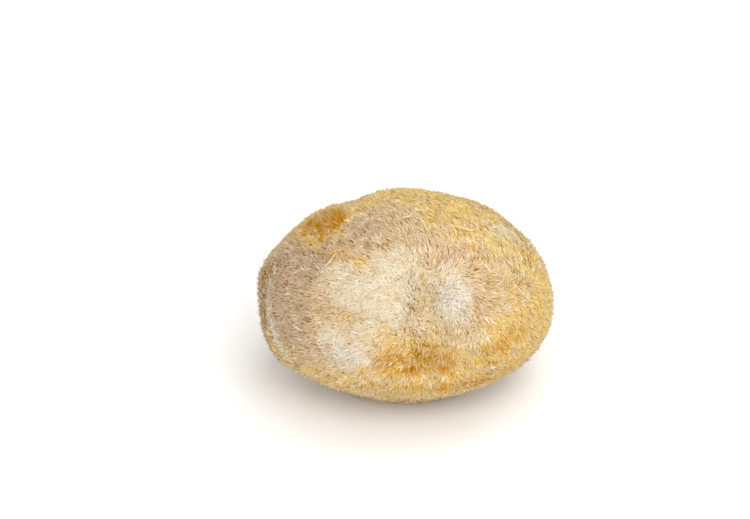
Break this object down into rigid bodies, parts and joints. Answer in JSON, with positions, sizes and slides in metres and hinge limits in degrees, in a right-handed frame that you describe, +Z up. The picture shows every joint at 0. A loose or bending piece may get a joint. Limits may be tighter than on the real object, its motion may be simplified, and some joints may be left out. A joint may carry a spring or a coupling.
{
  "type": "lions mane mushroom",
  "caption": "Whole dried lion's mane mushroom: a squat rounded head with a dimple in its face and a nap of short spines, standing on the flat cut where it came off its wood.",
  "frame": {"origin": "middle of the flat cut that it stands on", "axes": "+Z up, away from the cut; -Y towards the side with the dimple, the face; +X to the right of someone who looks at the face, along the longest side"},
  "size_m": [0.1002, 0.0856, 0.0642],
  "materials": {
    "dried_nap": "dry, matte and fibrous, cream on the face and golden tan on the crown and sides"
  },
  "bodies": {
    "root": {"mushroom_head": "dried_nap"}
  },
  "joints": []
}
